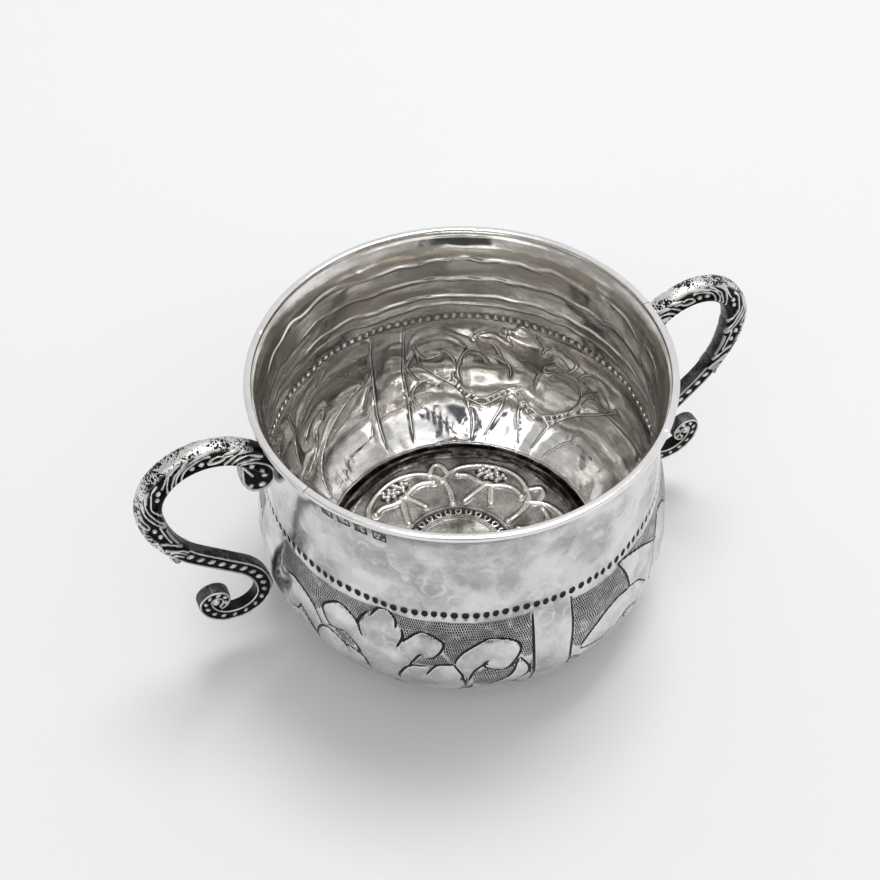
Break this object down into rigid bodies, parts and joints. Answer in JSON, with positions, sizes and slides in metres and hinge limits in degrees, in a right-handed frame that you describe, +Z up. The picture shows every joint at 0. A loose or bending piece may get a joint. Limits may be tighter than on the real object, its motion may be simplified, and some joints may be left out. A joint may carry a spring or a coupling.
{
  "type": "silver two-handled cup",
  "caption": "Raised silver cup with a pinched neck, wire rim, chased flowers, a let-in base plate, a low foot ring and cast beaded scroll handles on opposite sides.",
  "frame": {"origin": "centre of the underside of the foot ring, on the surface that the cup stands on", "axes": "+Z up along the cup's axis, X through both handles, +Y to the side away from the pictured front"},
  "size_m": [0.1722, 0.114, 0.084],
  "materials": {
    "bowl_silver": "raised sterling sheet, planished and chased, bright outside, warmer and duller inside, black oxide in the chased lines",
    "rim_silver": "drawn silver wire, polished, worn bright on its top face",
    "foot_silver": "low collet ring, polished band, duller underneath",
    "floor_silver": "chased base plate with grey tarnish in its ground and dark streaks in its cove",
    "handle_silver": "cast silver, bright on its raised beads and leaves, black oxide in its channels, pitted plain back"
  },
  "bodies": {
    "root": {"bowl": "bowl_silver", "rim_wire": "rim_silver", "foot_ring": "foot_silver", "base_plate": "floor_silver", "handle_left": "handle_silver", "handle_right": "handle_silver"}
  },
  "joints": []
}
